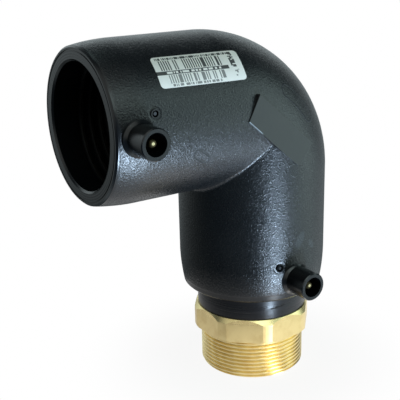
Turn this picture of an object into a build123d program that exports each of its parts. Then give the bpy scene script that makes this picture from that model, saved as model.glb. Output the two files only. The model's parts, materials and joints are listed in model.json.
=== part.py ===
from build123d import *
import os
from math import cos, radians, sin

os.makedirs("parts", exist_ok=True)

# Pipe that the sockets take, and the play between a pipe and its socket before it is welded
pipe_diameter = 63.0
fusion_clearance = 0.3

# Elbow moulding: two like legs that meet at a mitre, its outer corner rounded off as a bend
leg_wall = 9.4
leg_reach = 103.0
throat_overlap = 5.2
bend_cover = 4.0
bend_ease = 0.05
throat_fillet = 3.0
mouth_drop = 2.0
mouth_taper = 21.0
mouth_edge = 0.9
socket_depth = 50.0
socket_entry = 1.0
stop_width = 3.6
rim_groove_inset = 2.2
rim_groove_width = 0.7
rim_groove_depth = 0.4

# Flat pad on the side of the bend, its end towards the pipe cut on a slant
pad_length = 44.9
pad_width = 14.2
pad_slant = 13.7
pad_slope = 41.0
pad_setback = 12.5
pad_drop = 7.6
pad_height = 0.6
pad_root = 6.0

# Terminal shroud beside each mouth, and the contact pin that stands in it
terminal_setback = 11.6
shroud_radius = 7.6
shroud_bore_radius = 5.5
shroud_height = 13.6
shroud_floor = 1.2
shroud_edge = 0.5
foot_width = 1.4
foot_height = 1.4
terminal_radius = 2.0
terminal_root_radius = 2.6
terminal_recess = 2.8
terminal_tip = 0.6
terminal_clearance = 0.02

# Fusion indicator beside each shroud: a pin in a shallow well that rises once the joint is welded
indicator_setback = 20.0
indicator_angle = 14.7
indicator_rim_radius = 2.3
indicator_rim_height = 0.5
indicator_well_radius = 1.6
indicator_well_depth = 5.0
indicator_clearance = 0.1
indicator_tip_radius = 0.8
indicator_shoulder = 2.5
indicator_recess = 0.4

# Heating wire: a winding in each socket, and the run in the wall that joins the two
wire_size = 1.2
wire_clearance = 0.05
winding_setback = 14.0
winding_pitch = 5.4
winding_turns = 3
link_bend = 20.0

# Threaded insert with an octagonal collar and a barbed tail; the inset makes the thread 59.614 wide
thread_inset = 1.693
thread_length = 23.4
thread_chamfer = 1.2
collar_wall = 2.4
collar_corner = 1.6
collar_length = 13.8
collar_shoulder = 2.4
collar_edge = 0.5
collar_sides = 8
collar_turn = 1.5
tail_wall = 3.7
insert_entry = 1.5
tail_length = 34.0
tail_chamfer = 1.0
barb_count = 3
barb_pitch = 6.0
barb_depth = 0.9
barb_setback = 4.0
seal_setback = 25.0
seal_width = 3.6
seal_depth = 2.0

# Sleeve of pipe, moulded over the tail and welded into the lower socket
neck_length = 14.0
sleeve_wall = 5.8
sleeve_chamfer = 1.2
sleeve_stop_gap = 1.0

# Label on the upper side of the pipe leg
label_length = 48.3
label_width = 17.2
label_reach = 52.4
label_angle = 49.0
label_skew = 0.9
label_corner = 2.0
label_thickness = 0.15
label_clearance = 0.1

pipe_radius = pipe_diameter / 2
socket_radius = pipe_radius + fusion_clearance
leg_radius = socket_radius + leg_wall
bend_radius = leg_radius - throat_overlap
corner_size = leg_radius + bend_cover
mouth_radius = leg_radius - mouth_drop
passage_radius = socket_radius - stop_width
rim_groove_radius = mouth_radius - rim_groove_inset
thread_radius = pipe_radius - thread_inset
collar_flat_radius = thread_radius + collar_wall
collar_turned_radius = collar_flat_radius + collar_corner
collar_top = thread_length + collar_length
leg_end = collar_top + neck_length
axis_height = leg_end + leg_reach
socket_stop = leg_reach - socket_depth
terminal_line = leg_reach - terminal_setback
shroud_top = leg_radius + shroud_height
shroud_bottom = leg_radius - shroud_floor
foot_radius = shroud_radius + foot_width
indicator_line = leg_reach - indicator_setback
indicator_across = -leg_radius * sin(radians(indicator_angle))
indicator_surface = leg_radius * cos(radians(indicator_angle))
indicator_top = indicator_surface + indicator_rim_height
indicator_bottom = indicator_surface - indicator_well_depth
recess_radius = socket_radius + wire_size + wire_clearance
lead_inside = socket_radius + wire_size / 2
lead_outside = lead_inside + wire_size
winding_top = leg_reach - winding_setback
winding_bottom = winding_top - winding_turns * winding_pitch
recess_top = winding_top + wire_size / 2 + wire_clearance
recess_bottom = winding_bottom - wire_size / 2 - wire_clearance

# On each leg's plane, X points to the terminals' side and Y out of the leg's mouth
corner = (0, 0, axis_height)
pipe_leg = Plane(origin=corner, x_dir=(0, -1, 0), z_dir=(0, 0, -1))
adapter_leg = Plane(origin=corner, x_dir=(0, -1, 0), z_dir=(1, 0, 0))
legs = {"pipe": pipe_leg, "adapter": adapter_leg}
bend_axis = Axis((-bend_radius, 0, axis_height - bend_radius), (0, -1, 0))


def leg_axis(leg):
    return Axis(leg.origin, leg.y_dir)


# A plane that faces the terminals' side, its X pointing out of the leg's mouth
def side_plane(leg, height, along, across=0.0):
    place = leg.from_local_coords((height, along, across))
    return Plane(origin=place, x_dir=leg.y_dir, z_dir=leg.x_dir)


def on_mitre(edge):
    middle = edge.center()
    return abs(middle.X - (middle.Z - axis_height)) < bend_ease


# Leads and link of the heating wire, each once as wire and once, with play, as room in the wall
wire_runs = {}
for purpose, play in {"wire": 0.0, "room": wire_clearance}.items():
    run_width = wire_size + 2 * play
    with BuildPart() as wire_run:
        for leg in legs.values():
            with BuildSketch(side_plane(leg, lead_inside - play, winding_top)):
                with Locations((-run_width / 2, 0)):
                    Rectangle(
                        terminal_line - winding_top + run_width / 2,
                        run_width,
                        align=(Align.MIN, Align.CENTER),
                    )
            extrude(amount=run_width)
        link_plane = Plane(origin=(0, play - lead_inside, axis_height), x_dir=(1, 0, 0), z_dir=(0, -1, 0))
        with BuildSketch(link_plane):
            with BuildLine():
                FilletPolyline((-winding_bottom, 0), (0, 0), (0, -winding_bottom), radius=link_bend)
            trace(line_width=run_width)
        extrude(amount=run_width)
    wire_runs[purpose] = wire_run.part

with BuildPart() as elbow_body:
    # Legs, each crowned towards its mouth
    for leg in legs.values():
        with BuildSketch(leg):
            with BuildLine():
                crown_start = (leg_radius, leg_reach - mouth_taper)
                crown_end = (mouth_radius, leg_reach - mouth_edge)
                Polyline((0, leg_reach), (0, 0), (leg_radius, 0), crown_start)
                TangentArc(crown_start, crown_end, tangent=(0, 1))
                Polyline(crown_end, (mouth_radius - mouth_edge, leg_reach), (0, leg_reach))
            make_face()
        revolve(axis=leg_axis(leg))

    # Corner block, from a little inside the mitre outwards, and the fillet along the throat's crease
    with BuildSketch(Plane.XZ):
        with Locations((-bend_cover, axis_height - bend_cover)):
            Rectangle(corner_size, corner_size, align=Align.MIN)
    extrude(amount=corner_size, both=True)
    crease = elbow_body.edges().filter_by(GeomType.ELLIPSE).filter_by(on_mitre)
    fillet(crease, radius=throat_fillet)

    # Outer half of the corner, cut round as a bend
    with BuildSketch(Plane.XY.offset(axis_height - bend_radius)):
        Rectangle(2 * corner_size, 3 * corner_size, align=(Align.MIN, Align.CENTER))
        Circle(leg_radius + bend_ease, mode=Mode.SUBTRACT)
    revolve(axis=bend_axis, revolution_arc=90, mode=Mode.SUBTRACT)

    # Flat pad, set across the mitre on the terminals' side
    pad_plane = Plane(
        origin=(-pad_setback, -(leg_radius + pad_height), axis_height - pad_drop),
        x_dir=(-cos(radians(pad_slope)), 0, sin(radians(pad_slope))),
        z_dir=(0, -1, 0),
    )
    with BuildSketch(pad_plane):
        Trapezoid(pad_length, pad_width, 90, 90 - pad_slant)
    extrude(amount=-pad_root)

    # Shrouds and the rims of the indicator wells
    for leg in legs.values():
        terminal_foot = leg.from_local_coords((0, terminal_line, 0))
        with BuildSketch(Plane(origin=terminal_foot, x_dir=leg.y_dir, z_dir=-leg.z_dir)):
            with BuildLine():
                Polyline(
                    (0, recess_radius),
                    (0, shroud_top),
                    (shroud_radius - shroud_edge, shroud_top),
                    (shroud_radius, shroud_top - shroud_edge),
                    (shroud_radius, leg_radius + foot_height / 2),
                    (foot_radius, leg_radius - foot_height / 2),
                    (foot_radius, recess_radius),
                    close=True,
                )
            make_face()
        revolve(axis=Axis(terminal_foot, leg.x_dir))
        with BuildSketch(side_plane(leg, recess_radius, indicator_line, indicator_across)):
            Circle(indicator_rim_radius)
        extrude(amount=indicator_top - recess_radius)

    # Sockets, each with its entry chamfer, rim groove and the recess that holds the winding
    for leg in legs.values():
        with BuildSketch(leg):
            with BuildLine():
                Polyline(
                    (0, socket_stop),
                    (socket_radius, socket_stop),
                    (socket_radius, recess_bottom),
                    (recess_radius, recess_bottom),
                    (recess_radius, recess_top),
                    (socket_radius, recess_top),
                    (socket_radius, leg_reach - socket_entry),
                    (socket_radius + socket_entry, leg_reach),
                    (0, leg_reach),
                    close=True,
                )
            make_face()
            with Locations((rim_groove_radius, leg_reach)):
                Rectangle(rim_groove_width, 2 * rim_groove_depth)
        revolve(axis=leg_axis(leg), mode=Mode.SUBTRACT)

    # Passage from stop to stop, round the same bend as the outside
    for leg in legs.values():
        with BuildSketch(leg):
            with Locations((0, bend_radius)):
                Rectangle(passage_radius, socket_stop - bend_radius, align=(Align.MIN, Align.MIN))
        revolve(axis=leg_axis(leg), mode=Mode.SUBTRACT)
    with BuildSketch(Plane.XY.offset(axis_height - bend_radius)):
        Circle(passage_radius)
    revolve(axis=bend_axis, revolution_arc=90, mode=Mode.SUBTRACT)

    # Bores for the terminals and the wells for the indicators
    for leg in legs.values():
        with BuildSketch(side_plane(leg, shroud_bottom, terminal_line)):
            Circle(shroud_bore_radius)
        extrude(amount=shroud_height + shroud_floor, mode=Mode.SUBTRACT)
        with BuildSketch(side_plane(leg, lead_outside, terminal_line)):
            Circle(terminal_root_radius + terminal_clearance)
        extrude(amount=shroud_top - lead_outside, mode=Mode.SUBTRACT)
        with BuildSketch(side_plane(leg, indicator_bottom, indicator_line, indicator_across)):
            Circle(indicator_well_radius)
        extrude(amount=indicator_rim_height + indicator_well_depth, mode=Mode.SUBTRACT)

    # Room in the wall for the wire's leads and link
    for run in wire_runs["room"].solids():
        add(run, mode=Mode.SUBTRACT)
elbow_body.part.label = "elbow_body"
export_step(elbow_body.part, "parts/elbow_body.step")

# Heating wire, wound from each terminal towards the stop, its turns level with the socket's wall
coil = Helix(pitch=winding_pitch, height=winding_turns * winding_pitch, radius=socket_radius + wire_size / 2)
with BuildPart() as heating_wire:
    for leg in legs.values():
        coil_start = leg.from_local_coords((0, winding_top, 0))
        coil_path = Plane(origin=coil_start, x_dir=leg.x_dir, z_dir=-leg.y_dir) * coil
        with BuildSketch(Plane(origin=coil_path @ 0, x_dir=leg.x_dir, z_dir=coil_path % 0)):
            Rectangle(wire_size, wire_size)
        sweep(path=coil_path, is_frenet=True)
    add(wire_runs["wire"])
heating_wire.part.label = "heating_wire"
export_step(heating_wire.part, "parts/heating_wire.step")

# Contact pins, each with its root on the end of its lead and its shank free in the shroud
for name, leg in legs.items():
    with BuildPart() as terminal_pin:
        with BuildSketch(side_plane(leg, lead_outside, terminal_line)):
            Circle(terminal_root_radius)
        extrude(amount=shroud_bottom - lead_outside)
        with BuildSketch(side_plane(leg, shroud_bottom, terminal_line)):
            Circle(terminal_radius)
        extrude(amount=shroud_top - terminal_recess - shroud_bottom)
        chamfer(terminal_pin.faces().sort_by(Axis.Y)[0].edges(), length=terminal_tip)
    terminal_pin.part.label = name + "_terminal_pin"
    export_step(terminal_pin.part, "parts/" + name + "_terminal_pin.step")

# Indicator pins, a little below the rims of their wells until the weld pushes them out
for name, leg in legs.items():
    with BuildPart() as indicator_pin:
        with BuildSketch(side_plane(leg, indicator_bottom, indicator_line, indicator_across)):
            Circle(indicator_well_radius - indicator_clearance)
        extrude(amount=indicator_top - indicator_shoulder - indicator_bottom)
        with BuildSketch(side_plane(leg, indicator_bottom, indicator_line, indicator_across)):
            Circle(indicator_tip_radius)
        extrude(amount=indicator_top - indicator_recess - indicator_bottom)
    indicator_pin.part.label = name + "_fusion_indicator"
    export_step(indicator_pin.part, "parts/" + name + "_fusion_indicator.step")

# Dimensions and barbs that the insert shares with its collar, its sleeve and its seal
tail_radius = pipe_radius - sleeve_wall
insert_bore_radius = tail_radius - tail_wall
tail_top = collar_top + tail_length
seal_bottom = collar_top + seal_setback
thread_root = thread_radius - thread_chamfer
barbs = []
for barb in range(barb_count):
    foot = collar_top + barb_setback + barb * barb_pitch
    barbs += [(tail_radius, foot), (tail_radius - barb_depth, foot)]
barbs.append((tail_radius, foot + barb_pitch))

# Collar: eight flats on a turned band, with a conical shoulder up to the neck
with BuildPart() as collar:
    with BuildSketch(Plane.XY.offset(thread_length)):
        RegularPolygon(
            radius=collar_flat_radius,
            side_count=collar_sides,
            major_radius=False,
            rotation=collar_turn + 180 / collar_sides,
        )
    extrude(amount=collar_length)
    with BuildSketch(Plane.XZ):
        with BuildLine():
            Polyline(
                (thread_root, thread_length),
                (collar_turned_radius - collar_edge, thread_length),
                (collar_turned_radius, thread_length + collar_edge),
                (collar_turned_radius, collar_top - collar_shoulder),
                (collar_turned_radius - collar_shoulder, collar_top),
                (thread_root, collar_top),
                close=True,
            )
        make_face()
    revolve(axis=Axis.Z, mode=Mode.INTERSECT)

# Brass insert, turned on its own axis, with saw-tooth barbs and a seal groove in its tail
with BuildPart() as threaded_insert:
    with BuildSketch(Plane.XZ):
        with BuildLine():
            Polyline(
                (insert_bore_radius + insert_entry, 0),
                (thread_root, 0),
                (thread_radius, thread_chamfer),
                (thread_radius, collar_top),
                (tail_radius, collar_top),
                *barbs,
                (tail_radius, seal_bottom),
                (tail_radius - seal_depth, seal_bottom),
                (tail_radius - seal_depth, seal_bottom + seal_width),
                (tail_radius, seal_bottom + seal_width),
                (tail_radius, tail_top - tail_chamfer),
                (tail_radius - tail_chamfer, tail_top),
                (insert_bore_radius, tail_top),
                (insert_bore_radius, insert_entry),
                close=True,
            )
        make_face()
    revolve(axis=Axis.Z)
    add(collar.part)
threaded_insert.part.label = "threaded_insert"
export_step(threaded_insert.part, "parts/threaded_insert.step")

# Sleeve of pipe, moulded on round the barbs of the tail
sleeve_top = axis_height - socket_stop - sleeve_stop_gap
with BuildPart() as spigot_sleeve:
    with BuildSketch(Plane.XZ):
        with BuildLine():
            Polyline(
                (tail_radius, collar_top),
                *barbs,
                (tail_radius, sleeve_top),
                (pipe_radius - sleeve_chamfer, sleeve_top),
                (pipe_radius, sleeve_top - sleeve_chamfer),
                (pipe_radius, collar_top),
                close=True,
            )
        make_face()
    revolve(axis=Axis.Z)
spigot_sleeve.part.label = "spigot_sleeve"
export_step(spigot_sleeve.part, "parts/spigot_sleeve.step")

# Seal between the tail and the sleeve, filling its groove
with BuildPart() as seal_ring:
    with BuildSketch(Plane.XZ):
        with Locations((tail_radius, seal_bottom)):
            Rectangle(seal_depth, seal_width, align=(Align.MAX, Align.MIN))
    revolve(axis=Axis.Z)
seal_ring.part.label = "seal_ring"
export_step(seal_ring.part, "parts/seal_ring.step")

# Label, a thin patch that follows the curve of the pipe leg
label_inside = leg_radius + label_clearance
label_facing = Plane(
    origin=(-label_reach, 0, axis_height),
    x_dir=(1, 0, 0),
    z_dir=(0, -sin(radians(label_angle)), cos(radians(label_angle))),
)
with BuildPart() as barcode_label:
    with BuildSketch(label_facing):
        RectangleRounded(label_length, label_width, label_corner, rotation=-label_skew)
    extrude(amount=label_inside + label_thickness)
    with BuildSketch(pipe_leg):
        with Locations((label_inside, 0)):
            Rectangle(label_thickness, leg_reach, align=Align.MIN)
    revolve(axis=leg_axis(pipe_leg), mode=Mode.INTERSECT)
barcode_label.part.label = "barcode_label"
export_step(barcode_label.part, "parts/barcode_label.step")
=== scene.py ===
import json
import math

import bmesh
import bpy
from mathutils import Matrix, Vector
from mathutils.bvhtree import BVHTree


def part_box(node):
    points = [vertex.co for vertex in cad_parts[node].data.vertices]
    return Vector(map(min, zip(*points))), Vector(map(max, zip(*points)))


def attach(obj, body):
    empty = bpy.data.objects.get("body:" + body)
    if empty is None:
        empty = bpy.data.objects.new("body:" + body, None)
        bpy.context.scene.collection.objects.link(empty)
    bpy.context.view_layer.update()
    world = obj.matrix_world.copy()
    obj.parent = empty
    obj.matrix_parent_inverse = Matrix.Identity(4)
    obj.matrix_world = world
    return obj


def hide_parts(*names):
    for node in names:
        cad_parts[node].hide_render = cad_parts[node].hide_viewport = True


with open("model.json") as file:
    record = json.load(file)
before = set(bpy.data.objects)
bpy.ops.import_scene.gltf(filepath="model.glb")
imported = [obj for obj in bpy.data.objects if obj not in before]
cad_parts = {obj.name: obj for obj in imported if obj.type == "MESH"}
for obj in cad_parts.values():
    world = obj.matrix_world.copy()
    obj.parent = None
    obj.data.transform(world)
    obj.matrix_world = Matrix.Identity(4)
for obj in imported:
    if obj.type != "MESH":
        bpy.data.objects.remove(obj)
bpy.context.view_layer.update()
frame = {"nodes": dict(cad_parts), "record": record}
cadNodes = frame["nodes"]
mounts = {mount["name"]: mount for mount in frame["record"]["mounts"]}
millimetre = 0.001
fullTurn = 2 * math.pi
terminals = ("pipe_terminal", "adapter_terminal")
print("frame loaded:", len(cadNodes), "nodes")

# Lines of the frame that the pieces are placed by
bodyLow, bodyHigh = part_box("elbow_body")
pipeAxisHeight = mounts["pipe_socket"]["pos_m"][2]
pipeMouth = bodyLow.x
adapterMouth = bodyLow.z
legRadius = bodyHigh.y
throatOverlap = 5.2 * millimetre
bendRadius = legRadius - throatOverlap


# Shader maths

class Shade:  # a socket that can be used in expressions

    def __init__(self, graph, socket):
        self.graph = graph
        self.socket = socket

    def __add__(self, other):
        return self.graph.maths("ADD", self, other)

    def __radd__(self, other):
        return self.graph.maths("ADD", other, self)

    def __sub__(self, other):
        return self.graph.maths("SUBTRACT", self, other)

    def __rsub__(self, other):
        return self.graph.maths("SUBTRACT", other, self)

    def __mul__(self, other):
        return self.graph.maths("MULTIPLY", self, other)

    def __rmul__(self, other):
        return self.graph.maths("MULTIPLY", other, self)

    def __truediv__(self, other):
        return self.graph.maths("DIVIDE", self, other)

    def __rtruediv__(self, other):
        return self.graph.maths("DIVIDE", other, self)

    def __neg__(self):
        return self.graph.maths("MULTIPLY", self, -1)

    def __abs__(self):
        return self.graph.maths("ABSOLUTE", self)

    def __gt__(self, other):
        return self.graph.maths("GREATER_THAN", self, other)

    def __lt__(self, other):
        return self.graph.maths("LESS_THAN", self, other)


class Graph:  # the nodes of a material or of the world

    def __init__(self, tree):
        self.nodes = tree.nodes
        self.links = tree.links

    def node(self, kind, settings, *values, output=0, **named):
        made = self.nodes.new(kind)
        for setting, value in settings.items():
            setattr(made, setting, value)
        for key, value in [*enumerate(values), *named.items()]:
            self.feed(made.inputs[key], value)
        return Shade(self, made.outputs[output])

    def feed(self, socket, value):
        if isinstance(value, Shade):
            self.links.new(value.socket, socket)
        else:
            socket.default_value = value

    def maths(self, operation, *values):
        return self.node("ShaderNodeMath", {"operation": operation}, *values)

    def larger(self, first, second):
        return self.maths("MAXIMUM", first, second)

    def smaller(self, first, second):
        return self.maths("MINIMUM", first, second)

    def length(self, *sides):
        total = sides[0] * sides[0]
        for side in sides[1:]:
            total = total + side * side
        return self.maths("SQRT", total)

    def place(self):
        return self.node("ShaderNodeTexCoord", {}, output="Object")

    def sheet(self, name):
        return self.node("ShaderNodeUVMap", {"uv_map": name})

    def rays(self, kind):
        return self.node("ShaderNodeLightPath", {}, output=kind)

    # Rays that show the white ground: the camera's own, and those off a gloss or through glass
    def seenDirectly(self):
        ownOrGloss = self.larger(self.rays("Is Camera Ray"), self.rays("Is Glossy Ray"))
        return self.larger(ownOrGloss, self.rays("Is Transmission Ray"))

    def stretched(self, place, scales):
        return self.node("ShaderNodeVectorMath", {"operation": "MULTIPLY"}, place, scales)

    def parts(self, vector):
        split = self.nodes.new("ShaderNodeSeparateXYZ")
        self.feed(split.inputs[0], vector)
        return [Shade(self, out) for out in split.outputs]

    def noise(self, place, scale, detail=2.0, roughness=0.6):
        return self.node(
            "ShaderNodeTexNoise", {}, Vector=place, Scale=scale, Detail=detail, Roughness=roughness
        )

    def scatter(self, value):
        return self.node("ShaderNodeTexWhiteNoise", {"noise_dimensions": "1D"}, W=value, output="Value")

    def smooth(self, value, low, high):
        made = self.nodes.new("ShaderNodeMapRange")
        made.interpolation_type = "SMOOTHSTEP"
        self.feed(made.inputs["Value"], value)
        made.inputs["From Min"].default_value = low
        made.inputs["From Max"].default_value = high
        return Shade(self, made.outputs["Result"])

    def between(self, value, low, high, edge):
        return self.smooth(value, low - edge, low + edge) * (1 - self.smooth(value, high - edge, high + edge))

    def blend(self, mask, first, second):
        made = self.nodes.new("ShaderNodeMix")
        made.data_type = "RGBA"
        self.feed(made.inputs[0], mask)
        self.feed(made.inputs[6], first)
        self.feed(made.inputs[7], second)
        return Shade(self, made.outputs[2])

    def bump(self, height, distance):
        return self.node("ShaderNodeBump", {}, Height=height, Distance=distance, output="Normal")


class Finish(Graph):  # a material on its way, with one Principled shader

    def __init__(self, name):
        self.material = bpy.data.materials.new(name)
        self.material.use_nodes = True
        super().__init__(self.material.node_tree)
        self.surface = self.nodes["Principled BSDF"]

    def set(self, **values):
        for name, value in values.items():
            self.feed(self.surface.inputs[name.replace("_", " ")], value)


# Meshes

def addObject(name, shape, material):
    mesh = bpy.data.meshes.new(name)
    shape.to_mesh(mesh)
    shape.free()
    mesh.materials.append(material)
    made = bpy.data.objects.new(name, mesh)
    bpy.context.scene.collection.objects.link(made)
    return made


def addPiece(name, shape, material, smoothAngle):
    piece = addObject(name, shape, material)
    piece.data.set_sharp_from_angle(angle=math.radians(smoothAngle))
    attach(piece, "root")
    return piece


def smoothFaces(shape):
    for face in shape.faces:
        face.smooth = True


def copyOfNode(node):
    shape = bmesh.new()
    shape.from_mesh(cadNodes[node].data)
    bmesh.ops.remove_doubles(shape, verts=shape.verts, dist=0.002 * millimetre)
    smoothFaces(shape)
    return shape


def dress(node, material):
    mesh = cadNodes[node].data
    mesh.materials.clear()
    mesh.materials.append(material)


# Elbow moulding: black polyethylene with an eroded grain, smooth on its rims, its pad and inside

moulding = {
    "smoothAngle": 24.0,
    "colour": (0.0025, 0.0033, 0.0045, 1.0),
    "bloom": (0.005, 0.006, 0.007, 1.0),
    # painted highlight: the paler colour of the grain's tops
    "paintedGrainHighlight": (0.006, 0.0075, 0.0085, 1.0),
    "smear": (0.03, 0.035, 0.038, 1.0),
    "smearShare": 0.6,
    "smearFade": (0.75, 1.05),
    "roughness": 0.25,
    "grainRoughness": 0.1,
    "markRoughness": 0.6,
    "patchScale": 45.0,
    "bloomFade": (0.45, 0.75),
    "peakFade": (0.45, 0.8),
    "patchRoughness": 0.1,
    "grainSize": 0.85 * millimetre,
    "grainDepth": 0.17 * millimetre,
    "foldScale": 0.8,
    "foldWidth": 0.11,
    "foldShare": 0.16,
    "fineScale": 6,
    "fineDepth": 0.006 * millimetre,
    "insideRadius": 35.0 * millimetre,
    "insideEdge": 0.5 * millimetre,
    "roundness": 0.07 * millimetre,
    "facingLimit": 0.96,
    "sharpStep": 0.0001,
    "shroudRadius": 7.6 * millimetre,
    "shroudBore": 5.5 * millimetre,
    "pipeBand": (1.25 * millimetre, 2.5 * millimetre),
    "adapterBand": (3.15 * millimetre, 4.5 * millimetre),
    "standing": (0.1 * millimetre, 0.35 * millimetre),
    "shroudFoot": 9.0 * millimetre,
    "indicatorRim": 3.2 * millimetre,
    "footFade": (0.88, 1.12),
    "ringPitch": 1.3 * millimetre,
    "ringDepth": 0.014 * millimetre,
    "markDepth": 0.13 * millimetre,
    "markLine": 0.36 * millimetre,
    "markFade": (0.3, 1.3),
    "ovalReach": 57.0 * millimetre,
    "ovalTurn": 45.0,
    "ovalLean": 31.0,
    "oval": (13.6 * millimetre, 3.6 * millimetre),
    "badgePlace": -57.7 * millimetre,
    "badgeLean": -20.0,
    "badgeTilt": -36.0,
    "badge": (5.2 * millimetre, 2.2 * millimetre),
    "badgeRoughness": 0.6,
    "padSlope": 41.0,
    "padCorner": (-34.1 * millimetre, 155.97 * millimetre),
    "edgeSpan": (2.5 * millimetre, 14.0 * millimetre),
    "edgeEnd": 1.0 * millimetre,
    "edgeWidth": (0.3 * millimetre, 0.6 * millimetre),
    "edgeStand": 0.1 * millimetre,
    # painted highlight: the paler colour along the pad's lower edge
    "paintedEdgeHighlight": (0.2, 0.22, 0.235, 1.0),
    "smears": (
        {"across": 2.2, "up": 84.9, "long": 5.5, "wide": 2.6, "slant": 62.0},
        {"across": 11.0, "up": 80.5, "long": 3.6, "wide": 1.8, "slant": -55.0},
    ),
}


def mouldedPolyethylene():
    skin = Finish("mouldedPolyethylene")
    place = skin.place()
    x, y, z = skin.parts(place)

    # How far a point is from the line through both legs and round the bend between them
    alongAdapter = skin.larger(x + bendRadius, 0)
    alongPipe = skin.larger(z - (pipeAxisHeight - bendRadius), 0)
    fromLine = skin.length(alongAdapter, alongPipe) - bendRadius
    reach = skin.length(fromLine, y)
    insideRadius, insideEdge = moulding["insideRadius"], moulding["insideEdge"]
    outside = skin.smooth(reach, insideRadius - insideEdge, insideRadius + insideEdge)

    # Round places on the terminals' side: the shrouds' feet and the rims of the indicators are smooth
    def around(places, size):
        away = skin.smaller(*[skin.length(x - place[0], z - place[2]) for place in places])
        low, high = [share * size for share in moulding["footFade"]]
        return (1 - skin.smooth(away, low, high)) * (y < 0)

    shroudPlaces = [mounts[name]["pos_m"] for name in terminals]
    indicatorBoxes = [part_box(name) for name in ("pipe_fusion_indicator", "adapter_fusion_indicator")]
    indicatorPlaces = [low.lerp(high, 0.5) for low, high in indicatorBoxes]
    shrouds = around(shroudPlaces, moulding["shroudFoot"])
    indicators = around(indicatorPlaces, moulding["indicatorRim"])
    pastPipeMouth = skin.smooth(x, *[pipeMouth + width for width in moulding["pipeBand"]])
    pastAdapterMouth = skin.smooth(z, *[adapterMouth + width for width in moulding["adapterBand"]])
    standing = skin.smooth(-y, *[legRadius + height for height in moulding["standing"]])
    grained = outside * (1 - standing) * (1 - shrouds) * (1 - indicators) * pastPipeMouth * pastAdapterMouth

    # Worm-like folds under a finer pebble
    grainSize = moulding["grainSize"]
    foldNoise = skin.noise(place, moulding["foldScale"] / grainSize, detail=1.0, roughness=0.5)
    folds = skin.smooth(abs(foldNoise - 0.5), 0.0, moulding["foldWidth"])
    rough = folds * moulding["foldShare"] + skin.noise(place, 1 / grainSize, detail=1.0, roughness=0.55)
    fine = skin.noise(place, moulding["fineScale"] / grainSize)

    # Raised outlines: an oval on the bend and a small badge on the pipe leg, both left bare
    def outline(along, across, size):
        halfLength, halfWidth = size
        straight = skin.larger(abs(along) - (halfLength - halfWidth), 0)
        off = abs(skin.length(straight, across) - halfWidth)
        return 1 - skin.smooth(off, *[share * moulding["markLine"] for share in moulding["markFade"]])

    turn = skin.maths("ARCTAN2", alongPipe, alongAdapter) - math.radians(moulding["ovalTurn"])
    lean = skin.maths("ARCTAN2", fromLine, -y)
    ovalAcross = (lean - math.radians(moulding["ovalLean"])) * legRadius
    oval = outline(turn * moulding["ovalReach"], ovalAcross, moulding["oval"])
    tilt = math.radians(moulding["badgeTilt"])
    level = (lean - math.radians(moulding["badgeLean"])) * legRadius
    sideways = x - moulding["badgePlace"]
    badgeAlong = sideways * math.cos(tilt) + level * math.sin(tilt)
    badgeAcross = level * math.cos(tilt) - sideways * math.sin(tilt)
    badge = outline(badgeAlong, badgeAcross, moulding["badge"]) * (x < -bendRadius)

    # Faint turning rings on the face of the pipe mouth
    rings = skin.maths("SINE", reach * (fullTurn / moulding["ringPitch"])) * (1 - pastPipeMouth)
    height = rough * grained * moulding["grainDepth"] + fine * moulding["fineDepth"]
    height = height + (oval + badge) * moulding["markDepth"] + rings * moulding["ringDepth"]

    # Two pale smears low on the upright leg
    def smear(across, up, long, wide, slant):
        cosine, sine = math.cos(math.radians(slant)), math.sin(math.radians(slant))
        east, above = x - across * millimetre, z - up * millimetre
        along = (east * cosine + above * sine) / (long * millimetre)
        aside = (above * cosine - east * sine) / (wide * millimetre)
        return (1 - skin.smooth(skin.length(along, aside), *moulding["smearFade"])) * (y < 0)

    smeared = skin.larger(*[smear(**values) for values in moulding["smears"]])

    # The pad's lower edge gets a painted highlight: a paler line in its colour where the edge would catch the
    # light
    padTurn = math.radians(moulding["padSlope"])
    rightward, upward = x - moulding["padCorner"][0], z - moulding["padCorner"][1]
    acrossPad = upward * math.cos(padTurn) + rightward * math.sin(padTurn)
    alongPad = rightward * math.cos(padTurn) - upward * math.sin(padTurn)
    edge = 1 - skin.smooth(abs(acrossPad), *moulding["edgeWidth"])
    edge = edge * skin.between(alongPad, *moulding["edgeSpan"], moulding["edgeEnd"])
    edge = edge * (-y > legRadius + moulding["edgeStand"])

    # Bloom in patches, and the grain's tops painted paler, a painted highlight on the grain
    patches = skin.noise(place, moulding["patchScale"], detail=3.0)
    peaks = skin.smooth(rough, *moulding["peakFade"]) * grained
    bloomed = skin.blend(
        skin.smooth(patches, *moulding["bloomFade"]), moulding["colour"], moulding["bloom"]
    )
    peakHighlighted = skin.blend(peaks, bloomed, moulding["paintedGrainHighlight"])
    marked = skin.blend(smeared * moulding["smearShare"], peakHighlighted, moulding["smear"])
    uneven = (patches - 0.5) * moulding["patchRoughness"] + (1 - peaks) * grained * moulding["grainRoughness"]
    marks = (oval + badge * moulding["badgeRoughness"]) * moulding["markRoughness"]
    skin.set(
        Base_Color=skin.blend(edge, marked, moulding["paintedEdgeHighlight"]),
        Roughness=moulding["roughness"] + uneven + marks,
        Normal=skin.bump(height, 1.0),
    )
    return skin.material


elbowBody = addPiece(
    "elbowBody", copyOfNode("elbow_body"), mouldedPolyethylene(), moulding["smoothAngle"]
)


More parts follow.
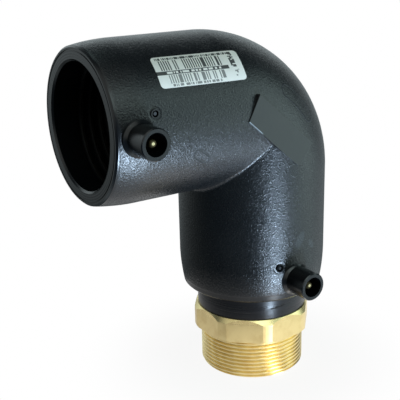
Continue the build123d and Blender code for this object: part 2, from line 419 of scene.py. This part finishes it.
# Ways straight out from the round surfaces of the moulding that a point lies on
def roundFacings(point):
    fromBend = Vector((max(point.x + bendRadius, 0), 0, max(point.z + bendRadius - pipeAxisHeight, 0)))
    ring = fromBend.normalized() * bendRadius if fromBend.length else Vector()
    spokes = [
        (Vector((point.x, point.y, 0)), legRadius, 1),
        (Vector((0, point.y, point.z - pipeAxisHeight)), legRadius, 1),
        (fromBend - ring + Vector((0, point.y, 0)), legRadius, 1),
    ]
    for name in terminals:
        across, depth, height = mounts[name]["pos_m"]
        spoke = Vector((point.x - across, 0, point.z - height))
        spokes += [(spoke, moulding["shroudRadius"], 1), (spoke, moulding["shroudBore"], -1)]
    return [
        spoke.normalized() * side
        for spoke, radius, side in spokes
        if abs(spoke.length - radius) < moulding["roundness"]
    ]


# Corner normals: exact where a corner lies on a round surface, else shared by the faces that turn little
def exactNormals(piece, smoothAngle):
    mesh = piece.data
    limit = math.cos(math.radians(smoothAngle))
    facings = [face.normal.copy() for face in mesh.polygons]
    areas = [face.area for face in mesh.polygons]
    facesAt = [[] for vert in mesh.vertices]
    corners, sides = {}, {}
    for face in mesh.polygons:
        for corner, vert in zip(face.loop_indices, face.vertices):
            facesAt[vert].append(face.index)
            corners[face.index, vert] = corner
        for key in face.edge_keys:
            sides.setdefault(key, []).append(face.index)
    normals = [None] * len(mesh.loops)
    for vert in mesh.vertices:
        exact = roundFacings(vert.co)
        for face in facesAt[vert.index]:
            near = [facing for facing in exact if facing.dot(facings[face]) > moulding["facingLimit"]]
            if near:
                normal = max(near, key=facings[face].dot)
            else:
                level = [other for other in facesAt[vert.index] if facings[other].dot(facings[face]) > limit]
                normal = sum((facings[other] * areas[other] for other in level), Vector()).normalized()
            normals[corners[face, vert.index]] = normal
    for edge in mesh.edges:
        first, second = sides[edge.key]
        edge.use_edge_sharp = any(
            (normals[corners[first, vert]] - normals[corners[second, vert]]).length > moulding["sharpStep"]
            for vert in edge.key
        )
    mesh.normals_split_custom_set(normals)


exactNormals(elbowBody, moulding["smoothAngle"])
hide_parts("elbow_body")
print("elbow moulding finished")


# Brass insert: male thread, octagonal collar, bore and barbed tail, all spun from one profile

insert = {
    "smoothAngle": 12.0,
    "crest": mounts["male_thread"]["dims"]["r_mm"] * millimetre,
    "threadPitch": 2.309 * millimetre,
    "threadDepth": 1.1 * millimetre,
    "threadLength": 23.4 * millimetre,
    "threadChamfer": 1.2 * millimetre,
    "crestShare": 0.3,
    "collarTop": 37.2 * millimetre,
    "collarSides": 8,
    "collarFlat": 32.207 * millimetre,
    "collarCorner": 33.807 * millimetre,
    "collarEdge": 0.5 * millimetre,
    "collarTurn": 1.5,
    "shoulderHeight": 2.6 * millimetre,
    "shoulderWidth": 1.7 * millimetre,
    "boreRadius": 22.0 * millimetre,
    "boreEntry": 1.5 * millimetre,
    "tailRadius": 25.7 * millimetre,
    "barbSetback": 4.0 * millimetre,
    "barbPitch": 6.0 * millimetre,
    "barbDepth": 0.9 * millimetre,
    "barbCount": 3,
    "sealRadius": 23.7 * millimetre,
    "flatSteps": 12,
    "cornerSteps": 6,
    "pitchSteps": 12,
    "spinRadius": 0.05,
    "weld": 0.005 * millimetre,
    "bright": (0.92, 0.74, 0.36, 1.0),
    "tarnish": (0.78, 0.59, 0.26, 1.0),
    "tarnishShare": 0.6,
    "stainScale": 160.0,
    "stainFade": (0.4, 0.72),
    "mottleScale": 900.0,
    "mottleShare": 0.15,
    "millScales": (1200, 1200, 60),
    "turnScales": (25, 25, 5200),
    "flatFade": 0.3 * millimetre,
    "toolMarkDepth": 0.02 * millimetre,
    "roughness": {"plain": 0.24, "mottled": 0.05, "stained": 0.04, "milled": 0.12, "threaded": 0.06},
}
insert["root"] = insert["crest"] - insert["threadDepth"]
insert["flatAngle"] = 2 * math.acos(insert["collarFlat"] / insert["collarCorner"])
insert["sideAngle"] = fullTurn / insert["collarSides"]
insert["sideSteps"] = insert["flatSteps"] + insert["cornerSteps"]


# Where a column of the spun mesh goes, so that edges run along the collar's corners
def columnAngle(turn):
    side, share = divmod(turn / insert["sideAngle"], 1.0)
    flatShare = insert["flatSteps"] / insert["sideSteps"]
    within = min(share / flatShare, 1.0) * insert["flatAngle"]
    if share > flatShare:
        within += (share - flatShare) / (1 - flatShare) * (insert["sideAngle"] - insert["flatAngle"])
    return math.radians(insert["collarTurn"]) + side * insert["sideAngle"] + within - insert["flatAngle"] / 2


def collarRadius(angle):
    half = insert["sideAngle"] / 2
    away = (angle - math.radians(insert["collarTurn"]) + half) % insert["sideAngle"] - half
    return min(insert["collarFlat"] / math.cos(away), insert["collarCorner"])


# The thread climbs one pitch in each turn, and fades out at its two ends
def threadRadius(angle, height):
    phase = height / insert["threadPitch"] - angle / fullTurn
    wave = 0.5 - 0.5 * math.cos(fullTurn * phase)
    stand = min(1.0, wave / (1 - insert["crestShare"])) * insert["threadDepth"]
    room = min(height, insert["threadLength"] - height)
    room *= insert["threadDepth"] / insert["threadChamfer"]
    return insert["root"] + min(stand, room)


# Rows of the spun mesh: thread and collar in steps, then the plainly turned line up and round to the bore
def insertProfile():
    top, tail, bore = insert["collarTop"], insert["tailRadius"], insert["boreRadius"]
    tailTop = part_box("threaded_insert")[1].z
    sealLow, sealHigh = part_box("seal_ring")
    threadRows = round(insert["threadLength"] / insert["threadPitch"] * insert["pitchSteps"])
    rows = [("thread", insert["threadLength"] * row / threadRows) for row in range(threadRows + 1)]
    rows += [(kind, 0.0) for kind in ("collarFoot", "collarWall", "collarEave", "collarShoulder")]
    turned = [(tail, top)]
    for barb in range(insert["barbCount"]):
        foot = top + insert["barbSetback"] + barb * insert["barbPitch"]
        turned += [(tail, foot), (tail - insert["barbDepth"], foot)]
    turned += [(tail, foot + insert["barbPitch"]), (tail, sealLow.z)]
    turned += [(insert["sealRadius"], sealLow.z), (insert["sealRadius"], sealHigh.z)]
    turned += [(tail, sealHigh.z), (tail, tailTop)]
    turned += [(bore, tailTop), (bore, insert["boreEntry"]), (bore + insert["boreEntry"], 0.0)]
    return rows, turned


# Radius and height of one vertex of a row that isn't plainly round
def insertPlace(row, angle):
    kind, height = row
    top, bottom = insert["collarTop"], insert["threadLength"]
    wall = collarRadius(angle)
    turnedFoot = insert["collarCorner"] - insert["collarEdge"]
    if kind == "thread":
        return threadRadius(angle, height), height
    if kind == "collarFoot":
        return min(wall, turnedFoot), bottom
    if kind == "collarWall":
        return wall, bottom + max(0.0, wall - turnedFoot)
    if kind == "collarEave":
        steepness = insert["shoulderHeight"] / insert["shoulderWidth"]
        rise = (insert["collarCorner"] - wall) * steepness
        return wall, top - insert["shoulderHeight"] + rise
    return insert["collarCorner"] - insert["shoulderWidth"], top


def insertShape():
    rows, turned = insertProfile()
    shape = bmesh.new()
    rowLayer = shape.verts.layers.int.new("row")
    line = [(insert["spinRadius"], height) for kind, height in rows] + turned
    made = []
    for index, (radius, height) in enumerate(line):
        vert = shape.verts.new((radius, 0.0, height))
        vert[rowLayer] = index
        made.append(vert)
    for first, second in zip(made, made[1:] + made[:1]):
        shape.edges.new((first, second))
    bmesh.ops.spin(
        shape,
        geom=shape.verts[:] + shape.edges[:],
        axis=(0, 0, 1),
        cent=(0, 0, 0),
        angle=fullTurn,
        steps=insert["collarSides"] * insert["sideSteps"],
        use_merge=True,
    )
    for vert in shape.verts:
        angle = columnAngle(math.atan2(vert.co.y, vert.co.x) % fullTurn)
        radius, height = math.hypot(vert.co.x, vert.co.y), vert.co.z
        if vert[rowLayer] < len(rows):
            radius, height = insertPlace(rows[vert[rowLayer]], angle)
        vert.co = (radius * math.cos(angle), radius * math.sin(angle), height)
    bmesh.ops.remove_doubles(shape, verts=shape.verts, dist=insert["weld"])
    bmesh.ops.recalc_face_normals(shape, faces=shape.faces)
    smoothFaces(shape)
    return shape


def machinedBrass():
    brass = Finish("machinedBrass")
    place = brass.place()
    x, y, z = brass.parts(place)
    flatTop = insert["collarTop"] - insert["shoulderHeight"]
    flats = brass.between(z, insert["threadLength"], flatTop, insert["flatFade"])
    threaded = z < insert["threadLength"]
    milled = brass.noise(brass.stretched(place, insert["millScales"]), 1.0)
    turned = brass.noise(brass.stretched(place, insert["turnScales"]), 1.0)
    mottled = brass.noise(place, insert["mottleScale"], detail=3.0, roughness=0.65)
    stained = brass.smooth(brass.noise(place, insert["stainScale"], detail=3.0), *insert["stainFade"])
    height = milled * flats + turned * (z > insert["collarTop"]) + mottled * insert["mottleShare"] * flats
    roughness = insert["roughness"]
    brass.set(
        Base_Color=brass.blend(stained * insert["tarnishShare"], insert["bright"], insert["tarnish"]),
        Roughness=roughness["plain"] + mottled * roughness["mottled"] + stained * roughness["stained"]
        + flats * milled * roughness["milled"] + threaded * roughness["threaded"],
        Metallic=1.0,
        Normal=brass.bump(height, insert["toolMarkDepth"]),
    )
    return brass.material


brassInsert = addPiece("brassInsert", insertShape(), machinedBrass(), insert["smoothAngle"])
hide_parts("threaded_insert")
print("brass insert finished")


# Label: a printed sticker laid on the curve of the pipe leg, with bars and dashes for its print.
# Rows and columns give their left, right, low and high ends as shares of the label, then their cells.

label = {
    "smoothAngle": 40.0,
    "length": 48.3 * millimetre,
    "width": 17.2 * millimetre,
    "corner": 2.0 * millimetre,
    "cornerSegments": 6,
    "reach": 52.4 * millimetre,
    "angle": 49.0,
    "skew": 0.9,
    "lift": 0.06 * millimetre,
    "thickness": 0.1 * millimetre,
    "slices": (40, 16),
    "paper": (0.92, 0.88, 0.82, 1.0),
    "soiled": (0.80, 0.79, 0.73, 1.0),
    "soiledShare": 0.5,
    "ink": (0.012, 0.014, 0.014, 1.0),
    "paleInk": 0.8,
    "wear": 0.12,
    "fibreScale": 5000.0,
    "fibreDepth": 0.006 * millimetre,
    "smudgeScale": 240.0,
    "smudgeFade": (0.35, 0.8),
    "roughness": 0.42,
    "smudgeRoughness": 0.12,
    "title": ((0.035, 0.92, 0.87, 0.95), 120, 0.95, 0.4, 3.5),
    "codes": ((0.06, 0.80, 0.52, 0.85), 76, 0.88, 0.18, 17.5),
    "small": ((0.12, 0.76, 0.12, 0.37), 76, 0.82, 0.15, 41.5),
    "foot": ((0.13, 0.70, 0.03, 0.10), 110, 0.8, 0.35, 63.5),
    "words": ((0.10, 0.75, 0.41, 0.475), 80, 0.8, 0.4, 85.5),
    "band": (0.83, 0.385, 0.50),
    "end": ((0.865, 0.925, 0.42, 0.92), 26, 0.66, 107.5),
    "cornerMark": ((0.885, 0.94, 0.12, 0.34), 22, 0.5, 131.5),
    "lanes": 3,
}


def labelShape():
    shape = bmesh.new()
    half = (label["length"] / 2, label["width"] / 2)
    corners = [shape.verts.new((x, y, 0)) for x, y in ((-1, -1), (1, -1), (1, 1), (-1, 1))]
    bmesh.ops.scale(shape, vec=(*half, 1), verts=corners)
    shape.faces.new(corners)
    bmesh.ops.bevel(
        shape,
        geom=shape.verts[:],
        offset=label["corner"],
        segments=label["cornerSegments"],
        profile=0.5,
        affect="VERTICES",
        material=-1,
    )
    for side, count in enumerate(label["slices"]):
        for cut in range(1, count):
            place, facing = Vector(), Vector()
            place[side] = half[side] * (2 * cut / count - 1)
            facing[side] = 1
            bmesh.ops.bisect_plane(
                shape,
                geom=shape.verts[:] + shape.edges[:] + shape.faces[:],
                plane_co=place,
                plane_no=facing,
            )
    sheet = shape.loops.layers.uv.new("print")
    for face in shape.faces:
        for corner in face.loops:
            corner[sheet].uv = [0.5 + corner.vert.co[side] / half[side] / 2 for side in (0, 1)]

    # Each point comes down on the moulding from outside, towards the leg's axis
    moulded = copyOfNode("elbow_body")
    skin = BVHTree.FromBMesh(moulded)
    skewed = Matrix.Rotation(math.radians(-label["skew"]), 3, "Z")
    for vert in shape.verts:
        flat = skewed @ vert.co
        angle = math.radians(label["angle"]) - flat.y / legRadius
        outward = Vector((0, -math.sin(angle), math.cos(angle)))
        axisPoint = Vector((flat.x - label["reach"], 0, pipeAxisHeight))
        surfacePoint, surfaceNormal, *rest = skin.ray_cast(axisPoint + outward * 2 * legRadius, -outward)
        vert.co = surfacePoint + surfaceNormal * label["lift"]
    moulded.free()
    bmesh.ops.recalc_face_normals(shape, faces=shape.faces)
    if sum(face.normal.z for face in shape.faces) < 0:
        bmesh.ops.reverse_faces(shape, faces=shape.faces)
    smoothFaces(shape)
    bmesh.ops.solidify(shape, geom=shape.faces[:], thickness=-label["thickness"])
    return shape


def printedPaper():
    paper = Finish("printedPaper")
    across, up, unused = paper.parts(paper.sheet("print"))

    def field(left, right, low, high):
        return (across > left) * (across < right) * (up > low) * (up < high)

    # Rows of print: cells by turns likely and unlikely to be inked
    def row(ends, cells, likely, unlikely, seed):
        cell = paper.maths("FLOOR", across * cells)
        share = unlikely + paper.maths("MODULO", cell, 2) * (likely - unlikely)
        return field(*ends) * (paper.scatter(cell + seed) < share)

    # Marks at the right end run up the label, so their cells lie the other way
    def column(ends, cells, share, seed):
        left, right = ends[:2]
        cell = paper.maths("FLOOR", up * cells)
        lane = paper.maths("FLOOR", (across - left) / (right - left) * label["lanes"])
        return field(*ends) * (paper.scatter(cell * 7 + lane + seed) < share)

    title, codes, small, foot, words = [
        row(*label[name]) for name in ("title", "codes", "small", "foot", "words")
    ]
    end, cornerMark = [column(*label[name]) for name in ("end", "cornerMark")]
    bandRight, bandLow, bandHigh = label["band"]
    band = (across < bandRight) * (up > bandLow) * (up < bandHigh)
    dark = paper.larger(paper.larger(title, codes), paper.larger(end, band * (1 - words)))
    pale = paper.larger(paper.larger(small, foot), cornerMark)
    ink = paper.larger(dark, pale * label["paleInk"])

    # Paper fibres wear the ink, and smudges soil the blank paper
    place = paper.place()
    fibres = paper.noise(place, label["fibreScale"])
    smudge = paper.smooth(paper.noise(place, label["smudgeScale"], detail=3.0), *label["smudgeFade"])
    worn = paper.larger(ink - fibres * label["wear"], 0)
    blank = paper.blend(smudge * label["soiledShare"], label["paper"], label["soiled"])
    paper.set(
        Base_Color=paper.blend(worn, blank, label["ink"]),
        Roughness=label["roughness"] + smudge * label["smudgeRoughness"],
        Normal=paper.bump(fibres, label["fibreDepth"]),
    )
    return paper.material


printedLabel = addPiece("printedLabel", labelShape(), printedPaper(), label["smoothAngle"])
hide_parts("barcode_label")
print("label finished")


# Sleeve of turned polyethylene, which shows as the neck, with a dark scuff on its right side

neck = {
    "colour": (0.005, 0.0065, 0.011, 1.0),
    "roughness": 0.2,
    "ringScales": (12, 12, 750),
    "ringDepth": 0.05 * millimetre,
    "ringRoughness": 0.2,
    "scuff": (0.001, 0.001, 0.0012, 1.0),
    "scuffPlace": (-4.9 * millimetre, -31.1 * millimetre),
    "scuffHeight": 43.8 * millimetre,
    "scuffWidth": 5.5 * millimetre,
    "scuffLine": 0.9 * millimetre,
    "scuffSlope": 0.115,
    "scuffTaper": 0.7,
    "raggedScales": (500, 500, 1400),
    "ragged": 2.4,
    "scuffFade": (1.75, 1.95),
    "scuffStand": 0.6,
    "scuffRoughness": 0.55,
}


def turnedPolyethylene():
    sleeve = Finish("turnedPolyethylene")
    place = sleeve.place()
    x, y, z = sleeve.parts(place)
    rings = sleeve.noise(sleeve.stretched(place, neck["ringScales"]), 1.0)
    east, north = x - neck["scuffPlace"][0], y - neck["scuffPlace"][1]
    away = sleeve.length(east, north) / neck["scuffWidth"]
    above = z - neck["scuffHeight"] - east * neck["scuffSlope"]
    ragged = sleeve.noise(sleeve.stretched(place, neck["raggedScales"]), 1.0, detail=3.0, roughness=0.7)
    streak = abs(above) / neck["scuffLine"] + away * neck["scuffTaper"] + ragged * neck["ragged"]
    streak = 1 - sleeve.smooth(streak, *neck["scuffFade"])
    sleeve.set(
        Base_Color=sleeve.blend(streak, neck["colour"], neck["scuff"]),
        Roughness=neck["roughness"] + rings * neck["ringRoughness"] + streak * neck["scuffRoughness"],
        Normal=sleeve.bump(rings + streak * neck["scuffStand"], neck["ringDepth"]),
    )
    return sleeve.material


dress("spigot_sleeve", turnedPolyethylene())
print("neck finished")


# Small parts: contact pins, indicator pins, winding and seal

smallParts = {
    "pin": {
        "shine": 0.9 * millimetre,
        "middle": (0.86, 0.74, 0.42, 1.0),
        # painted shade round the pin's glint
        "rim": (0.05, 0.04, 0.02, 1.0),
        "roughness": 0.2,
        "rimRoughness": 0.2,
        "fineRoughness": 0.08,
        "fineScale": 4,
    },
    "indicatorPlastic": {
        "fresh": (0.004, 0.005, 0.006, 1.0),
        "worn": (0.02, 0.022, 0.024, 1.0),
        "patchSize": 0.6 * millimetre,
        "roughness": 0.55,
    },
    "coatedWire": {
        "fresh": (0.003, 0.0028, 0.0025, 1.0),
        "worn": (0.009, 0.008, 0.007, 1.0),
        "patchSize": 4.0 * millimetre,
        "roughness": 0.3,
    },
    "sealRubber": {
        "fresh": (0.008, 0.008, 0.008, 1.0),
        "worn": (0.022, 0.022, 0.021, 1.0),
        "patchSize": 3.0 * millimetre,
        "roughness": 0.55,
    },
    "wornFade": (0.42, 0.7),
    "wornRoughness": 0.12,
    "fineScale": 6,
    "fineRoughness": 0.06,
    "fineDepth": 0.01 * millimetre,
}


# One finish for the small pieces that aren't brass: fresh and worn patches over a fine tooth
def wornFinish(name):
    values = smallParts[name]
    finish = Finish(name)
    place = finish.place()
    patches = finish.noise(place, 1 / values["patchSize"], detail=3.0)
    wear = finish.smooth(patches, *smallParts["wornFade"])
    fine = finish.noise(place, smallParts["fineScale"] / values["patchSize"])
    uneven = wear * smallParts["wornRoughness"] + fine * smallParts["fineRoughness"]
    finish.set(
        Base_Color=finish.blend(wear, values["fresh"], values["worn"]),
        Roughness=values["roughness"] + uneven,
        Normal=finish.bump(fine, smallParts["fineDepth"]),
    )
    return finish.material


# A contact pin's end keeps its brass colour in the middle and has painted shade round it, so only a small
# glint shows; round the middle the brass is also rougher
def pinFinish():
    pin = smallParts["pin"]
    finish = Finish("pinBrass")
    place = finish.place()
    x, y, z = finish.parts(place)
    ends = [mounts[name]["pos_m"] for name in terminals]
    away = finish.smaller(*[finish.length(x - end[0], z - end[2]) for end in ends])
    # rougher brass round the middle, and painted shade in its colour there
    dullShadedRim = finish.smooth(away, pin["shine"] / 2, pin["shine"])
    fine = finish.noise(place, pin["fineScale"] / pin["shine"])
    finish.set(
        Base_Color=finish.blend(dullShadedRim, pin["middle"], pin["rim"]),
        Roughness=pin["roughness"] + dullShadedRim * pin["rimRoughness"] + fine * pin["fineRoughness"],
        Metallic=1.0,
        Normal=finish.bump(fine, smallParts["fineDepth"]),
    )
    return finish.material


pinBrass, indicatorPlastic = pinFinish(), wornFinish("indicatorPlastic")
for purpose in ("pipe", "adapter"):
    dress(purpose + "_terminal_pin", pinBrass)
    dress(purpose + "_fusion_indicator", indicatorPlastic)
dress("heating_wire", wornFinish("coatedWire"))
dress("seal_ring", wornFinish("sealRubber"))
print("small parts finished")


# Studio: a round white table on a white ground, dim surroundings on the camera's left and soft lights

studio = {
    "tableRadius": 0.113,
    "tableSides": 96,
    "tableDrop": 0.05 * millimetre,
    "tableWhite": (0.92, 0.92, 0.92, 1.0),
    "tableRoughness": 0.7,
    "shadowShare": 0.09,
    "shadowFade": (0.3, 0.95),
    # painted light: the table's glow in a gloss, a bright streak in front and a dimmer left side
    "streakBearing": -0.07,
    "streakFade": (0.05, 0.16),
    "glowStreakLevel": 3.4,
    "dimGlowLevel": 0.62,
    "dimGlowFade": (-1.3, -0.5),
    "fillLevel": 0.35,
    "white": (1.0, 1.0, 1.0, 1.0),
    "darkTint": (0.05, 0.065, 0.075, 1.0),
    "darkSide": (-0.87, -0.48, 0.1),
    "darkSideFade": (-0.1, 0.6),
    "darkAboveFade": (0.38, 0.6),
    "backTint": (0.56, 0.64, 0.66),
    "backFade": (0.1, 0.6),
    "backRise": 2,
    "backLeast": 0.2,
    "sideLevel": 0.45,
    "sideFall": 1.5,
    "sideLeast": 0.04,
    "glowTint": (0.66, 0.7, 0.68, 1.0),
    "glowSide": (-0.5, -0.5, 0.7),
    "glowFade": (0.6, 0.85),
}


# White where the camera sees it, with a share of its own shading so the shadow stays
def tableFinish():
    table = Finish("tableFinish")
    table.set(Base_Color=studio["tableWhite"], Roughness=studio["tableRoughness"])
    x, y, z = table.parts(table.place())

    # In a gloss the table glows as painted light: a painted bright streak in front, brighter than white, and
    # a dimmer painted glow on its left
    bearing = table.maths("ARCTAN2", x, -y)
    streak = 1 - table.smooth(abs(bearing - studio["streakBearing"]), *studio["streakFade"])
    lit = studio["dimGlowLevel"] + (1 - studio["dimGlowLevel"]) * table.smooth(bearing, *studio["dimGlowFade"])
    glow = table.nodes.new("ShaderNodeEmission")
    glossy = table.rays("Is Glossy Ray")
    table.feed(glow.inputs["Strength"], 1 + glossy * (lit - 1 + streak * studio["glowStreakLevel"]))
    outer = table.smooth(table.length(x, y) / studio["tableRadius"], *studio["shadowFade"])
    white = 1 - (1 - outer) * studio["shadowShare"]
    mixed = table.nodes.new("ShaderNodeMixShader")
    table.feed(mixed.inputs[0], table.seenDirectly() * white)
    table.links.new(table.surface.outputs[0], mixed.inputs[1])
    table.links.new(glow.outputs[0], mixed.inputs[2])
    table.links.new(mixed.outputs[0], table.nodes["Material Output"].inputs["Surface"])
    return table.material


tableShape = bmesh.new()
bmesh.ops.create_circle(
    tableShape, cap_ends=True, segments=studio["tableSides"], radius=studio["tableRadius"]
)
bmesh.ops.translate(tableShape, vec=(0, 0, -studio["tableDrop"]), verts=tableShape.verts)
tableTop = addObject("tableTop", tableShape, tableFinish())

# The world is white to the camera, pale behind the part, and dark above it and on its left
world = bpy.data.worlds.new("studioWorld")
bpy.context.scene.world = world
world.use_nodes = True
sky = Graph(world.node_tree)
facing = sky.node("ShaderNodeTexCoord", {}, output="Generated")
east, north, high = sky.parts(facing)


def towards(way):
    dot = {"operation": "DOT_PRODUCT"}
    return sky.node("ShaderNodeVectorMath", dot, facing, Vector(way).normalized(), output="Value")


onDarkSide = sky.smooth(towards(studio["darkSide"]), *studio["darkSideFade"])
dimming = sky.larger(onDarkSide, sky.smooth(high, *studio["darkAboveFade"]))
sideLevel = sky.larger(studio["sideLevel"] - high * studio["sideFall"], studio["sideLeast"])
backLevel = sky.larger(1 + high * studio["backRise"], studio["backLeast"])
level = sideLevel + (backLevel - sideLevel) * sky.smooth(north, *studio["backFade"])
back = sky.node("ShaderNodeVectorMath", {"operation": "SCALE"}, studio["backTint"], Scale=level)
dimmed = sky.blend(dimming, back, studio["darkTint"])
glowing = sky.smooth(towards(studio["glowSide"]), *studio["glowFade"])
light = sky.blend(glowing, dimmed, studio["glowTint"])
background = sky.nodes["Background"]
sky.feed(background.inputs["Color"], sky.blend(sky.rays("Is Camera Ray"), light, studio["white"]))
sky.feed(background.inputs["Strength"], sky.larger(sky.seenDirectly(), studio["fillLevel"]))

# Soft lights: place, the height on the thread's axis that they aim at, extent, watts and tint
coolTint, blueTint = (0.76, 1.0, 0.98), (0.74, 0.97, 1.24)
softLights = {
    "wallSoftbox": ((1.0, -0.84, 0.31), 0.1, (1.1, 1.4), 8.6, coolTint),
    "stripSoftbox": ((0.06, -0.93, -0.55), 0.08, (0.15, 0.4), 14.0, blueTint),
    "lowSoftbox": ((0.4, -0.4, -0.7), 0.1, (0.18, 0.18), 2.8, blueTint),
    "creaseSoftbox": ((0.14, -0.65, -0.56), 0.12, (0.16, 0.16), 2.4, blueTint),
    "frontSoftbox": ((-0.02, -0.7, 0.75), 0.1, (0.8, 0.4), 1.5, coolTint),
    "backSoftbox": ((-0.2, 0.5, 1.1), 0.1, (0.6, 0.6), 0.7, coolTint),
}
for name, (place, aimHeight, extent, watts, tint) in softLights.items():
    lamp = bpy.data.lights.new(name, "AREA")
    lamp.shape = "RECTANGLE"
    lamp.size, lamp.size_y = extent
    lamp.energy = watts
    lamp.color = tint
    holder = bpy.data.objects.new(name, lamp)
    bpy.context.scene.collection.objects.link(holder)
    holder.location = place
    holder.rotation_mode = "QUATERNION"
    holder.rotation_quaternion = (Vector((0, 0, aimHeight)) - Vector(place)).to_track_quat("-Z", "Y")

# Camera: where the photograph was taken from, by a fit to the outline

photoCamera = {
    "place": (-0.263659, -0.357083, 0.239675),
    "yaw": 0.5707,
    "pitch": 0.3095,
    "roll": -0.0247,
    "focalPixels": 817.55,
    "framePixels": 400,
    "sensor": 36.0,
    "nearest": 0.01,
}

cameraData = bpy.data.cameras.new("photoCamera")
cameraData.sensor_width = photoCamera["sensor"]
cameraData.lens = photoCamera["focalPixels"] / photoCamera["framePixels"] * photoCamera["sensor"]
cameraData.clip_start = photoCamera["nearest"]
camera = bpy.data.objects.new("photoCamera", cameraData)
bpy.context.scene.collection.objects.link(camera)
yaw, pitch, roll = photoCamera["yaw"], photoCamera["pitch"], photoCamera["roll"]
forward = Vector((math.sin(yaw) * math.cos(pitch), math.cos(yaw) * math.cos(pitch), -math.sin(pitch)))
levelRight = Vector((math.cos(yaw), -math.sin(yaw), 0.0))
levelUp = levelRight.cross(forward)
cameraRight = levelRight * math.cos(roll) + levelUp * math.sin(roll)
cameraUp = levelUp * math.cos(roll) - levelRight * math.sin(roll)
cameraTurn = Matrix((cameraRight, cameraUp, -forward)).transposed()
camera.matrix_world = Matrix.Translation(photoCamera["place"]) @ cameraTurn.to_4x4()
bpy.context.scene.camera = camera
bpy.context.scene.view_settings.view_transform = "Standard"
print("camera and lights placed")
